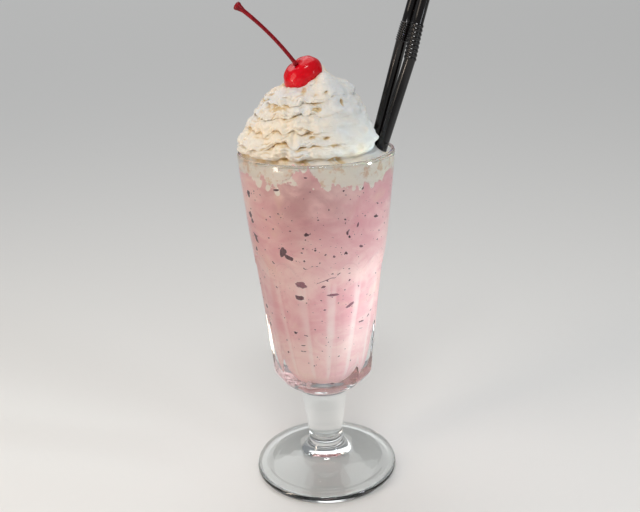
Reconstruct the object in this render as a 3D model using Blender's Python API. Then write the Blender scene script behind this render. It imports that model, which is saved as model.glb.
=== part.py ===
"""Strawberry milkshake in a tall footed soda glass, topped with piped whipped
cream, a cocktail cherry on its stalk and two black drinking straws.

The origin is the centre of the glass's foot, on the table, with +Z up and +X
towards the side on which the straws lean. All lengths are in metres.
"""

import math

import bmesh
import bpy
import numpy as np
from mathutils import Matrix, Vector

# Driving dimensions of the glass
RIM_RADIUS = 0.0420
FOOT_RADIUS = 0.0420
STEM_RADIUS = 0.0100
LIP_Z = 0.1937
LIP_THICKNESS = 0.0024
SHOULDER_Z = 0.150
PANELS = 12
PANEL_TURN = math.radians(-4)
PANEL_FOOT_Z = 0.075
PANEL_SPRING_Z = 0.129
PANEL_ARCH = 0.012
PANEL_FOOT_APOTHEM = 0.0286
PANEL_FLARE = 0.1006
CAVITY_FLOOR_Z = 0.0625

# Driving dimensions of what the glass holds
GAP = 0.0003
CREAM_SEAT_Z = 0.1953
CREAM_PEAK_Z = 0.2397
COIL_PITCH = 0.0068
COIL_START = -0.377
COIL_DEPTH = 0.0024
STRAW_RADIUS = 0.0030
STRAW_BORE_RADIUS = 0.0027
CHERRY_RADIUS = 0.0094
STALK_RADIUS = 0.0010

GLASS_STEPS = 48
FILL_STEPS = 60


def clear_scene():
    for old in list(bpy.data.objects):
        bpy.data.objects.remove(old, do_unlink=True)


def finish(name, colour, roughness, clear=0.0):
    """A Principled material, see-through where clear is above 0."""
    material = bpy.data.materials.new(name)
    material.use_nodes = True
    shader = material.node_tree.nodes["Principled BSDF"]
    shader.inputs["Base Color"].default_value = (*colour, 1.0)
    shader.inputs["Roughness"].default_value = roughness
    shader.inputs["Metallic"].default_value = 0.0
    shader.inputs["Transmission Weight"].default_value = clear
    return material


def skin(name, rows, material, crease=40, looped=False):
    """One closed body through rows of points. A row is a ring or a single pole,
    and a looped body's last ring meets its first."""
    work = bmesh.new()
    rings = [[work.verts.new(point) for point in row] for row in rows]
    for below, above in zip(rings, rings[1:] + (rings[:1] if looped else [])):
        steps = max(len(below), len(above))
        for i in range(steps):
            j = (i + 1) % steps
            if len(below) == 1:
                work.faces.new((below[0], above[j], above[i]))
            elif len(above) == 1:
                work.faces.new((below[i], below[j], above[0]))
            else:
                work.faces.new((below[i], below[j], above[j], above[i]))
    bmesh.ops.recalc_face_normals(work, faces=work.faces)
    mesh = bpy.data.meshes.new(name)
    work.to_mesh(mesh)
    work.free()
    mesh.shade_smooth()
    mesh.set_sharp_from_angle(angle=math.radians(crease))
    if material:
        mesh.materials.append(material)
    piece = bpy.data.objects.new(name, mesh)
    bpy.context.scene.collection.objects.link(piece)
    return piece


def around(steps):
    """The angles of a ring, anticlockwise seen from above, from a panel's middle."""
    return [PANEL_TURN + math.tau * i / steps for i in range(steps)]


def ring(radius, z, steps):
    return [(radius * math.cos(a), radius * math.sin(a), z) for a in around(steps)]


def arc(centre, radius, start, end, count):
    """Points (r, z) along a circular arc, its angles in degrees."""
    turns = [math.radians(start + (end - start) * i / count) for i in range(count + 1)]
    return [(centre[0] + radius * math.cos(a), centre[1] + radius * math.sin(a)) for a in turns]


def read_off(outline, position):
    """A size read off a short outline of (position, size) pairs."""
    positions, sizes = zip(*outline)
    return float(np.interp(position, positions, sizes))


def swell(angle, centre, width):
    """A smooth bump of height 1 round one direction, centre and width in degrees."""
    off = (math.degrees(angle) - centre + 180) % 360 - 180
    return math.exp(-((off / width) ** 2))


# Glass: one pressed piece from foot to rim

CAVITY = (
    (CAVITY_FLOOR_Z, 0.0035),
    (0.0634, 0.0072),
    (0.0652, 0.0103),
    (0.0680, 0.0131),
    (0.0725, 0.0157),
    (0.0800, 0.0180),
    (0.1000, 0.0230),
    (0.1280, 0.0296),
    (0.1500, 0.0344),
    (0.1750, 0.0380),
    (LIP_Z, RIM_RADIUS - LIP_THICKNESS),
)


def cavity_radius(z):
    return read_off(CAVITY, z)


def off_panel_centre(angle):
    """How far a direction lies from the middle of the panel that it meets."""
    pitch = math.tau / PANELS
    return (angle - PANEL_TURN + pitch / 2) % pitch - pitch / 2


def arch_rise(angle):
    """How high the panel's round top stands over its springing, from 0 to 1."""
    share = off_panel_centre(angle) / (math.pi / PANELS)
    return math.sqrt(max(0.0, 1 - share * share))


def panel_radius(angle, z):
    """Distance from the axis to the flat panel met in this direction."""
    apothem = PANEL_FOOT_APOTHEM + PANEL_FLARE * (z - PANEL_FOOT_Z)
    return apothem / math.cos(off_panel_centre(angle))


def plain_radius(angle, z):
    """Distance from the axis to the plain cone that stands over the panels."""
    return read_off(((PANEL_SPRING_Z, 0.0356), (SHOULDER_Z, 0.0381)), z)


def arched_ring(radius_of, z, arch=0.0):
    """A ring that rises with the panels' arched tops by the share arch."""
    points = []
    for angle in around(GLASS_STEPS):
        height = z + arch * PANEL_ARCH * arch_rise(angle)
        radius = radius_of(angle, height)
        points.append((radius * math.cos(angle), radius * math.sin(angle), height))
    return points


def make_glass():
    foot = [(0.0395, 0.0), (0.0410, 0.0006), (FOOT_RADIUS, 0.0020), (0.0417, 0.0034)]
    foot += [(0.0402, 0.0047), (0.0370, 0.0051), (0.0328, 0.0050), (0.0270, 0.0066), (0.0205, 0.0086)]
    fillet = [(0.0155, 0.0112), (0.0123, 0.0146), (0.0105, 0.0188)]
    stem = [(STEM_RADIUS, 0.0225), (0.0106, 0.0280), (0.0116, 0.0370), (0.0128, 0.0450)]
    stem += [(0.0139, 0.0510), (0.0149, 0.0545)]
    heel = [(0.0202, 0.0583), (0.0248, 0.0622), (0.0277, 0.0665), (0.0286, 0.0706)]
    upper = [(0.0384, 0.1530), (0.0405, 0.1755), (RIM_RADIUS - 0.0002, 0.1900)]
    lip = arc((RIM_RADIUS - LIP_THICKNESS / 2, LIP_Z), LIP_THICKNESS / 2, 0, 180, 4)
    inside = [(r, z) for z, r in reversed(CAVITY[:-1])]

    rows = [[(0.0, 0.0, 0.0)]]
    rows += [ring(r, z, GLASS_STEPS) for r, z in foot + fillet + stem + heel]
    rows += [arched_ring(panel_radius, z) for z in (PANEL_FOOT_Z, 0.100, 0.120)]
    rows += [arched_ring(panel_radius, PANEL_SPRING_Z, arch=1.0)]
    rows += [arched_ring(plain_radius, PANEL_SPRING_Z + 0.0022, arch=1.0)]
    rows += [arched_ring(plain_radius, SHOULDER_Z - 0.0035, arch=0.2)]
    rows += [ring(r, z, GLASS_STEPS) for r, z in upper + lip + inside]
    rows += [[(0.0, 0.0, CAVITY_FLOOR_Z)]]
    return skin("glass", rows, finish("clear_glass", (0.92, 0.96, 0.95), 0.03, clear=1.0), crease=25)


# Straws: two thin tubes with a concertina joint, leaning on the rim

FLEX_FOLDS = 9
FLEX_BULGE = 0.0004
STRAW_SIDES = 12
STRAWS = {
    "straw_left": {
        "foot": (-0.0002, 0.0081, 0.0730),
        "knee": (0.0468, 0.0115, 0.2478),
        "neck": (0.0498, 0.0117, 0.2573),
        "mouth": (0.0622, 0.0125, 0.2995),
    },
    "straw_right": {
        "foot": (-0.0045, -0.0001, 0.0730),
        "knee": (0.0503, 0.0044, 0.2387),
        "neck": (0.0543, 0.0049, 0.2570),
        "mouth": (0.0660, 0.0061, 0.2995),
    },
}


def standing(start, end):
    """A turn that stands +Z along the way from start to end."""
    return (Vector(end) - Vector(start)).to_track_quat("Z", "Y").to_matrix()


def tube_ring(centre, turn, radius, sides=STRAW_SIDES):
    return [Vector(centre) + turn @ Vector(point) for point in ring(radius, 0.0, sides)]


def make_straw(name, foot, knee, neck, mouth):
    """A hollow straw, straight up to its folded stretch and a little bent there."""
    lower, folded, upper = standing(foot, knee), standing(knee, neck), standing(neck, mouth)
    outer = [(foot, lower, STRAW_RADIUS), (knee, lower, STRAW_RADIUS)]
    for fold in range(FLEX_FOLDS):
        crest = Vector(knee).lerp(Vector(neck), (fold + 0.5) / FLEX_FOLDS)
        valley = Vector(knee).lerp(Vector(neck), (fold + 1) / FLEX_FOLDS)
        outer += [(crest, folded, STRAW_RADIUS + FLEX_BULGE), (valley, folded, STRAW_RADIUS)]
    outer += [(mouth, upper, STRAW_RADIUS)]
    bore = [(mouth, upper), (neck, folded), (knee, folded), (foot, lower)]
    rows = [tube_ring(place, turn, radius) for place, turn, radius in outer]
    rows += [tube_ring(place, turn, STRAW_BORE_RADIUS) for place, turn in bore]
    black = finish(name + "_plastic", (0.012, 0.009, 0.010), 0.25)
    return skin(name, rows, black, crease=50, looped=True)


def as_cutter(piece):
    piece.hide_render = True
    piece.display_type = "WIRE"
    return piece


def straw_room(name, foot, knee, neck, mouth):
    """The room that a straw takes in what it stands in, from its foot to its knee."""
    turn = standing(foot, knee)
    below = Vector(foot) - turn @ Vector((0, 0, GAP))
    radius = (STRAW_RADIUS + GAP) / math.cos(math.pi / STRAW_SIDES)
    rows = [[below], tube_ring(below, turn, radius), tube_ring(knee, turn, radius), [Vector(knee)]]
    return as_cutter(skin(name + "_room", rows, None))


def cut(piece, cutters):
    for cutter in cutters:
        room = piece.modifiers.new("room_for_" + cutter.name, "BOOLEAN")
        room.operation = "DIFFERENCE"
        room.object = cutter


# Cherry: two plump cheeks either side of a seam, with a dimple for the stalk

CHERRY_CENTRE = Vector((-0.0053, -0.0050, 0.2346))
CHERRY_STALK_WAY = Vector((-0.48, -0.37, 0.79)).normalized()
CHERRY_CHEEK_WAY = Vector((0.80, 0.07, 0.60))
CHERRY_STRETCH = (1.13, 0.98, 0.85)
SEAM_SINK = 0.08
SEAM_WIDTH = 0.30
DIMPLE_DEPTH = 0.0020
DIMPLE_WIDTH = 0.42


def cherry_turn():
    """Local X runs across the two cheeks, local Z out of the dimple."""
    z = CHERRY_STALK_WAY
    y = z.cross(CHERRY_CHEEK_WAY).normalized()
    return Matrix((y.cross(z), y, z)).transposed()


def cherry_point(down, across, grow=0.0):
    """A point of the skin, by its angle from the stalk and its angle round it."""
    seam = math.exp(-((math.cos(across) / SEAM_WIDTH) ** 2)) * math.sin(down)
    dimple = DIMPLE_DEPTH * math.exp(-((down / DIMPLE_WIDTH) ** 2))
    way = (math.sin(down) * math.cos(across), math.sin(down) * math.sin(across), math.cos(down))
    radius = CHERRY_RADIUS * (1 - SEAM_SINK * seam) + grow
    local = Vector([radius * part * stretch for part, stretch in zip(way, CHERRY_STRETCH)])
    return CHERRY_CENTRE + cherry_turn() @ (local - Vector((0, 0, dimple)))


def cherry_skin(name, material, grow=0.0, steps=24, rings=14):
    rows = [[cherry_point(0.0, 0.0, grow)]]
    for i in range(1, rings):
        down = math.pi * i / rings
        rows += [[cherry_point(down, across, grow) for across in around(steps)]]
    rows += [[cherry_point(math.pi, 0.0, grow)]]
    return skin(name, rows, material)


# Stalk: a slim stem, a little bowed, with the knob that joined it to the twig

STALK_TOP = Vector((-0.0372, -0.0088, 0.2697))
STALK_BOW = 0.0016
STALK_BOW_WAY = Vector((0.72, 0.0, 0.69))
STALK_ROOT = 0.02
STALK_ROWS = 12
STALK_GIRTH = (
    (0.02, 1.2),
    (0.08, 1.0),
    (0.60, 0.95),
    (0.90, 1.15),
    (0.955, 2.1),
    (0.985, 2.2),
    (1.0, 1.5),
)


def make_stalk():
    start = cherry_point(0.0, 0.0, grow=GAP)
    middle = (start + STALK_TOP) / 2 + 2 * STALK_BOW * STALK_BOW_WAY
    turn = standing(start, STALK_TOP)
    shares = [STALK_ROOT] + [i / STALK_ROWS for i in range(1, STALK_ROWS)] + [0.955, 0.985, 1.0]
    rows = [[start]]
    for share in shares:
        place = start * (1 - share) ** 2 + middle * 2 * share * (1 - share) + STALK_TOP * share**2
        rows += [tube_ring(place, turn, STALK_RADIUS * read_off(STALK_GIRTH, share), 8)]
    rows += [[STALK_TOP]]
    return skin("cherry_stalk", rows, finish("stalk_red", (0.55, 0.02, 0.03), 0.3))


# Cream and drink meet on one wavy face, lowest where the cream pressed down

DRINK_MIDDLE_Z = 0.1790
DRINK_EDGE_Z = 0.1835
DRINK_SWELLS = ((0.0070, -100, 11), (0.0040, -145, 16), (0.0040, 60, 25), (0.0030, 150, 20))
FACE_RINGS = (0.35, 0.70)


def edge_height(angle):
    """Where cream meets drink on the wall, higher where the drink came up."""
    rises = [rise * swell(angle, centre, width) for rise, centre, width in DRINK_SWELLS]
    return DRINK_EDGE_Z + sum(rises)


def meeting_ring(share, lift):
    """A ring of the meeting face, at a share of the way out to the wall."""
    points = []
    for angle in around(FILL_STEPS):
        edge = edge_height(angle)
        height = DRINK_MIDDLE_Z + (edge - DRINK_MIDDLE_Z) * share**2 + lift
        radius = share * (cavity_radius(edge) - GAP)
        points.append((radius * math.cos(angle), radius * math.sin(angle), height))
    return points


def make_milkshake(rooms):
    """The drink fills the glass from its rounded floor to the cream."""
    rows = [[(0.0, 0.0, CAVITY_FLOOR_Z + GAP)]]
    rows += [ring(r - GAP, z + GAP, FILL_STEPS) for z, r in CAVITY[:3]]
    rows += [ring(r - GAP, z, FILL_STEPS) for z, r in CAVITY[3:-1]]
    rows += [meeting_ring(share, -GAP) for share in (1.0, *reversed(FACE_RINGS))]
    rows += [[(0.0, 0.0, DRINK_MIDDLE_Z - GAP)]]
    drink = skin("milkshake", rows, finish("strawberry_shake", (0.62, 0.34, 0.34), 0.45))
    cut(drink, rooms)
    return drink


# Whipped cream: one rope piped round and round to a pulled peak

CREAM_OUTLINE = (
    (0.1953, 0.0350),
    (0.1980, 0.0372),
    (0.2020, 0.0374),
    (0.2080, 0.0345),
    (0.2130, 0.0315),
    (0.2180, 0.0285),
    (0.2230, 0.0254),
    (0.2265, 0.0207),
    (0.2295, 0.0165),
    (0.2315, 0.0095),
    (0.2340, 0.0068),
    (0.2370, 0.0050),
    (0.2385, 0.0030),
)
CREAM_LEAN_X = (
    (0.1950, -0.0044),
    (0.2150, -0.0033),
    (0.2230, -0.0032),
    (0.2295, 0.0008),
    (0.2370, 0.0010),
    (0.2397, 0.0015),
)
CREAM_LEAN_Y = ((0.223, 0.0), (0.231, 0.0030), (0.2397, 0.0040))
STRAW_SIDE = 12
STRAW_SIDE_WIDTH = 30
WALL_TOP_DROP = 0.0032
SEAT_DROP = 0.0028
COIL_SHARE = ((0.195, 0.4), (0.199, 1.0), (0.229, 1.0), (0.236, 0.3))
ROWS_PER_COIL = 5
WAIST_SIDE = -2
WAIST_WIDTH = 26
WAIST = ((0.1953, 0.0), (0.1980, 0.0014), (0.2100, 0.0014), (0.2180, 0.0))


def coil_ring(z):
    """A ring of the heap, bulged where a coil passes, creased between coils and
    drawn in beside the straws."""
    lean_x, lean_y = read_off(CREAM_LEAN_X, z), read_off(CREAM_LEAN_Y, z)
    depth = COIL_DEPTH * read_off(COIL_SHARE, z)
    points = []
    for angle in around(FILL_STEPS):
        turns = (z - CREAM_SEAT_Z) / COIL_PITCH - angle / math.tau + COIL_START
        crease = 1 - math.sqrt(abs(math.sin(math.pi * turns)))
        drawn_in = read_off(WAIST, z) * swell(angle, WAIST_SIDE, WAIST_WIDTH)
        radius = read_off(CREAM_OUTLINE, z) - depth * crease - drawn_in
        points.append((lean_x + radius * math.cos(angle), lean_y + radius * math.sin(angle), z))
    return points


def wall_ring(height_of):
    points = []
    for angle in around(FILL_STEPS):
        z = height_of(angle)
        radius = cavity_radius(z) - GAP
        points.append((radius * math.cos(angle), radius * math.sin(angle), z))
    return points


def wall_top(angle):
    """Where the cream leaves the wall, lower on the side of the straws."""
    return LIP_Z - WALL_TOP_DROP * swell(angle, STRAW_SIDE, STRAW_SIDE_WIDTH)


def seat_ring():
    """The foot of the lowest coil, sunk a little on the side of the straws."""
    points = []
    for x, y, z in coil_ring(CREAM_SEAT_Z):
        sunk = SEAT_DROP * swell(math.atan2(y, x), STRAW_SIDE, STRAW_SIDE_WIDTH)
        points.append((x, y, z - sunk))
    return points


def make_cream(rooms):
    rows = [[(0.0, 0.0, DRINK_MIDDLE_Z + GAP)]]
    rows += [meeting_ring(share, GAP) for share in (*FACE_RINGS, 1.0)]
    rows += [wall_ring(wall_top), seat_ring()]
    step = COIL_PITCH / ROWS_PER_COIL
    count = round((CREAM_OUTLINE[-1][0] - CREAM_SEAT_Z) / step)
    rows += [coil_ring(CREAM_SEAT_Z + step * i) for i in range(1, count + 1)]
    lean_x, lean_y = CREAM_LEAN_X[-1][1], CREAM_LEAN_Y[-1][1]
    rows += [[(lean_x, lean_y, CREAM_PEAK_Z)]]
    cream = skin("whipped_cream", rows, finish("dairy_cream", (0.86, 0.80, 0.68), 0.5), crease=60)
    cut(cream, rooms)
    return cream


clear_scene()
make_glass()
for straw_name, places in STRAWS.items():
    make_straw(straw_name, **places)
straw_rooms = [straw_room(straw_name, **places) for straw_name, places in STRAWS.items()]
make_milkshake(straw_rooms)
cherry_room = as_cutter(cherry_skin("cherry_room", None, grow=GAP))
make_cream([*straw_rooms, cherry_room])
cherry_skin("cherry", finish("cherry_red", (0.70, 0.0, 0.02), 0.12))
make_stalk()
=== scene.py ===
"""Strawberry milkshake in a footed soda glass, dressed round its solid model.

The frame is the model's own: metres, the middle of the glass's foot on the table
at the origin, +Z up, +X towards the side on which the straws lean.
"""

import math

import bpy
import numpy as np
from mathutils import Matrix, Vector


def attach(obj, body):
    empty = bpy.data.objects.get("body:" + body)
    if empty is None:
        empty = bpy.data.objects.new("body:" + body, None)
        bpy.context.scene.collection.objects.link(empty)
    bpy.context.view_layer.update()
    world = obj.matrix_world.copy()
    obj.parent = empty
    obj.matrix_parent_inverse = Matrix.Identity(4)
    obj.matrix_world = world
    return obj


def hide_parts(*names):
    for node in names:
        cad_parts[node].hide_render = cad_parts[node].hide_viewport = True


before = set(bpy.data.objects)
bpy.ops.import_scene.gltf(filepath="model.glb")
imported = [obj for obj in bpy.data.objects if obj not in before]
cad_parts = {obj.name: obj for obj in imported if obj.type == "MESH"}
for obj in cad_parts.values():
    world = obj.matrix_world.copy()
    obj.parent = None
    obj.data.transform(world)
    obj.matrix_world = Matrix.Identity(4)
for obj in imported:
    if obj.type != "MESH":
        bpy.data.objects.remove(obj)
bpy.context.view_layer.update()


# Studio: a pale matt table under soft lamps and a wide soft daylight, seen from
# a little above by a standard lens. A finish is one Principled surface, and what
# varies over it is read off the model's own metres.

# The camera's turns are in radians, its lens and sensor in millimetres.
CAMERA_PLACE = Vector((0.0, -0.4177, 0.2817))
CAMERA_DOWN = 0.3395
CAMERA_TURN = 0.0004
CAMERA_ROLL = -0.0350
CAMERA_LENS = 44.66
CAMERA_SENSOR = 36.0
CAMERA_NEAR = 0.01
DAYLIGHT_POWER = 1.15
DAYLIGHT_WIDTH = math.radians(60)
DAYLIGHT_TURN = (math.radians(-30), math.radians(-8), 0.0)
SKY_COLOUR = (0.88, 0.91, 0.95, 1.0)
SKY_STRENGTH = 0.28
TABLE_RADIUS = 60.0
TABLE_SIDES = 96
TABLE_DROP = 0.0004


class Reading:
    """A number, colour or direction that varies over a surface."""

    def __init__(self, finish, socket):
        self.finish = finish
        self.socket = socket

    def math(self, operation, first, second):
        return self.finish.node("Math", {"operation": operation}, {0: first, 1: second})

    def __add__(self, other):
        return self.math("ADD", self, other)

    def __radd__(self, other):
        return self.math("ADD", other, self)

    def __sub__(self, other):
        return self.math("SUBTRACT", self, other)

    def __rsub__(self, other):
        return self.math("SUBTRACT", other, self)

    def __mul__(self, other):
        return self.math("MULTIPLY", self, other)

    def __rmul__(self, other):
        return self.math("MULTIPLY", other, self)

    def step(self, low, high):
        """0 below low and 1 above high, eased between."""
        settings = {"interpolation_type": "SMOOTHSTEP"}
        values = {"Value": self, "From Min": low, "From Max": high}
        return self.finish.node("MapRange", settings, values)


class Finish:
    """A material whose surface is one Principled shader."""

    def __init__(self, name, values):
        self.material = bpy.data.materials.new(name)
        self.material.use_nodes = True
        self.tree = self.material.node_tree
        self.surface = self.tree.nodes["Principled BSDF"]
        self.fill(self.surface, values)

    def fill(self, node, values):
        """Sets a node's sockets, or links the readings among the values to them."""
        for name, value in values.items():
            if isinstance(value, Reading):
                self.tree.links.new(value.socket, node.inputs[name])
            else:
                node.inputs[name].default_value = value

    def node(self, kind, settings=None, values=None, output=0):
        """A new node with its settings and the values or links of its sockets."""
        node = self.tree.nodes.new("ShaderNode" + kind)
        for name, value in (settings or {}).items():
            setattr(node, name, value)
        self.fill(node, values or {})
        return Reading(self, node.outputs[output])

    def place(self):
        """Where a point of the surface is, in the model's metres."""
        return self.node("TexCoord", output="Object")

    def stretched(self, scale):
        """The place with each axis scaled, so that a pattern runs long one way."""
        values = {0: self.place(), 1: scale}
        return self.node("VectorMath", {"operation": "MULTIPLY"}, values)

    def noise(self, per_metre, detail=2.0, rough=0.5, warp=0.0, place=None):
        """Soft noise from 0 to 1, with per_metre lumps to the metre."""
        values = {
            "Vector": place or self.place(),
            "Scale": per_metre,
            "Detail": detail,
            "Roughness": rough,
            "Distortion": warp,
        }
        return self.node("TexNoise", None, values)

    def blend(self, share, first, second):
        """A colour between two others."""
        values = {0: share, 6: first, 7: second}
        return self.node("Mix", {"data_type": "RGBA"}, values, output=2)

    def ridden(self, name):
        """A number that the mesh carries at each of its points."""
        return self.node("Attribute", {"attribute_name": name}, output="Fac")

    def colour(self, reading):
        """Colours the whole surface by a reading."""
        self.fill(self.surface, {"Base Color": reading})

    def relief(self, height):
        """Bumps of a height in metres."""
        values = {"Strength": 1.0, "Distance": 1.0, "Height": height}
        self.fill(self.surface, {"Normal": self.node("Bump", None, values)})


def paint(red, green, blue):
    """A colour as a screen shows it, from 0 to 255, as linear light by the sRGB curve."""
    parts = [part / 255 for part in (red, green, blue)]
    linear = [p / 12.92 if p <= 0.04045 else ((p + 0.055) / 1.055) ** 2.4 for p in parts]
    return (*linear, 1.0)


def set_up_camera():
    """The camera at its place, turned down, aside and over by its three turns."""
    ahead = Vector(
        (
            math.sin(CAMERA_TURN) * math.cos(CAMERA_DOWN),
            math.cos(CAMERA_TURN) * math.cos(CAMERA_DOWN),
            -math.sin(CAMERA_DOWN),
        )
    )
    level = Vector((math.cos(CAMERA_TURN), -math.sin(CAMERA_TURN), 0.0))
    upright = level.cross(ahead)
    right = math.cos(CAMERA_ROLL) * level + math.sin(CAMERA_ROLL) * upright
    up = math.cos(CAMERA_ROLL) * upright - math.sin(CAMERA_ROLL) * level
    lens = bpy.data.cameras.new("camera")
    lens.lens = CAMERA_LENS
    lens.sensor_width = CAMERA_SENSOR
    lens.clip_start = CAMERA_NEAR
    camera = bpy.data.objects.new("camera", lens)
    turn = Matrix((right, up, -ahead)).transposed().to_4x4()
    camera.matrix_world = Matrix.Translation(CAMERA_PLACE) @ turn
    bpy.context.scene.collection.objects.link(camera)
    bpy.context.scene.camera = camera


def hang_lamp(name, place, target, size, power, colour, beam=180):
    """A soft lamp turned to its target, with its power in watts and its beam in degrees."""
    light = bpy.data.lights.new(name, "AREA")
    light.spread = math.radians(beam)
    light.shape = "RECTANGLE"
    light.size, light.size_y = size
    light.energy = power
    light.color = colour
    lamp = bpy.data.objects.new(name, light)
    lamp.location = place
    aim = Vector(target) - Vector(place)
    lamp.rotation_euler = aim.to_track_quat("-Z", "Y").to_euler()
    bpy.context.scene.collection.objects.link(lamp)


set_up_camera()
bpy.context.scene.view_settings.view_transform = "Standard"
hang_lamp("key", (0.66, -0.46, 0.34), (0, 0, 0.13), (0.10, 0.36), 1.0, (0.88, 0.94, 1.0))
hang_lamp("low_right", (0.44, -0.10, 0.09), (0, 0, 0.11), (0.04, 0.08), 0.28, (0.82, 0.97, 1.0), beam=21)
hang_lamp("warm_side", (-0.75, -0.40, 0.45), (0, 0, 0.16), (0.40, 0.60), 2.1, (1.0, 0.87, 0.72))
hang_lamp("warm_low", (-0.55, -0.34, 0.10), (0, 0, 0.13), (0.08, 0.30), 1.2, (1.0, 0.82, 0.68))
hang_lamp("above", (0.0, -0.50, 0.95), (0, 0, 0.18), (0.30, 0.14), 2.9, (1.0, 0.99, 0.98))

daylight = bpy.data.lights.new("daylight", "SUN")
daylight.angle = DAYLIGHT_WIDTH
daylight.energy = DAYLIGHT_POWER
sun = bpy.data.objects.new("daylight", daylight)
sun.rotation_euler = DAYLIGHT_TURN
bpy.context.scene.collection.objects.link(sun)

sky = bpy.data.worlds.new("studio")
sky.use_nodes = True
sky.node_tree.nodes["Background"].inputs["Color"].default_value = SKY_COLOUR
sky.node_tree.nodes["Background"].inputs["Strength"].default_value = SKY_STRENGTH
bpy.context.scene.world = sky

table = bpy.data.meshes.new("table")
turns = [math.tau * i / TABLE_SIDES for i in range(TABLE_SIDES)]
edge = [(TABLE_RADIUS * math.cos(a), TABLE_RADIUS * math.sin(a), -TABLE_DROP) for a in turns]
table.from_pydata(edge, [], [range(TABLE_SIDES)])
table_finish = Finish("pale matt table", {"Roughness": 0.6, "Base Color": paint(230, 229, 226)})
table.materials.append(table_finish.material)
table_top = bpy.data.objects.new("table_top", table)
bpy.context.scene.collection.objects.link(table_top)


# Glass: pressed in one piece from clear soda-lime glass, with twelve flat panels
# under round arches, a solid stem and a round foot, then fire polished, which
# softens every edge. It stands on a ring round its foot's hollow underside.

LIP_Z = 0.1937
LIP_THICKNESS = 0.0024
RIM_RADIUS = 0.0420
PANELS = 12
PANEL_TURN = math.radians(-4)
PANEL_SPRING_Z = 0.129
PANEL_ARCH = 0.012
# Just under 1, so that the root in an arch stays real at the panel's edges.
ARCH_SHARE = 0.999
PANEL_ROUNDING = 0.00010
# Heights between which the panels run out on the heel, and the height that no arch passes.
PANEL_FOOT_Z = (0.0595, 0.0625)
PANEL_TOP_Z = 0.1435
# A panel's distance from the axis at one height, how it leans out from there,
# and the least that it is sunk into the round wall.
PANEL_LEVEL_Z = 0.075
PANEL_FLAT = 0.0286
PANEL_LEAN = 0.1006
PANEL_SUNK = 0.0007
# How far below and above its line an arch's step is eased.
ARCH_STEP = (0.0002, 0.0013)
POLISH_WAVES = 0.00006
GLASS_SIDES = 228
LIP_POINTS = 13
OUTSIDE_STEP = 0.0009
CAVITY_STEP = 0.0008
# Outlines from the bottom up, each point a radius and a height.
UNDERSIDE = (
    (0.0, 0.0078),
    (0.0060, 0.0073),
    (0.0120, 0.0058),
    (0.0180, 0.0041),
    (0.0250, 0.0024),
    (0.0310, 0.0012),
    (0.0365, 0.0002),
    (0.0390, 0.0),
)
FOOT = (
    (0.0400, 0.0),
    (0.0412, 0.0007),
    (0.0418, 0.0019),
    (0.0417, 0.0032),
    (0.0409, 0.0043),
    (0.0394, 0.0049),
    (0.0370, 0.0051),
    (0.0345, 0.0049),
    (0.0328, 0.0050),
    (0.0305, 0.0056),
    (0.0270, 0.0066),
    (0.0205, 0.0086),
    (0.0155, 0.0112),
    (0.0123, 0.0146),
    (0.0105, 0.0188),
    (0.0100, 0.0225),
    (0.0106, 0.0280),
    (0.0116, 0.0370),
    (0.0128, 0.0450),
    (0.0139, 0.0510),
    (0.0153, 0.0546),
    (0.0205, 0.0582),
    (0.0253, 0.0619),
    (0.0283, 0.0662),
    (0.0295, 0.0710),
    (0.0300, 0.0765),
)
WALL = (
    (0.0320, 0.1000),
    (0.0341, 0.1200),
    (0.0354, 0.1290),
    (0.0368, 0.1400),
    (0.0381, 0.1500),
    (0.0397, 0.1660),
    (0.0406, 0.1755),
    (0.0414, 0.1850),
    (0.0419, 0.1915),
)
# The cavity's outline has the height first.
CAVITY = (
    (0.0625, 0.0),
    (0.0627, 0.0040),
    (0.0634, 0.0072),
    (0.0652, 0.0103),
    (0.0680, 0.0131),
    (0.0725, 0.0157),
    (0.0800, 0.0180),
    (0.0900, 0.0205),
    (0.1000, 0.0230),
    (0.1280, 0.0296),
    (0.1500, 0.0344),
    (0.1750, 0.0380),
    (LIP_Z, RIM_RADIUS - LIP_THICKNESS),
)


def flowing(points, step):
    """A smooth line through points, with a new point every step or so."""
    points = np.array(points, float)
    gaps = np.linalg.norm(np.diff(points, axis=0), axis=1)
    along = np.concatenate([[0.0], np.cumsum(gaps)])
    slopes = np.gradient(points, along, axis=0)
    fine = []
    for i, gap in enumerate(gaps):
        count = max(2, math.ceil(gap / step))
        for t in np.arange(count) / count:
            rise = t * t * (3 - 2 * t)
            out, back = t * (1 - t) ** 2, t * t * (t - 1)
            middle = points[i] * (1 - rise) + points[i + 1] * rise
            fine.append(middle + gap * (slopes[i] * out + slopes[i + 1] * back))
    return np.array([*fine, points[-1]])


def around(sides):
    """Angles spread evenly all round, the first in the middle of a panel."""
    return PANEL_TURN + math.tau * np.arange(sides) / sides


def hoop(radius, height, sides, middle=(0.0, 0.0)):
    """A ring of points; its radius and its height may differ all round."""
    angle = around(sides)
    x, y = middle[0] + radius * np.cos(angle), middle[1] + radius * np.sin(angle)
    return np.column_stack([x, y, np.broadcast_to(height, angle.shape)])


def pole(height):
    """A single point on the axis, which closes a skin."""
    return np.array([(0.0, 0.0, height)])


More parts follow.
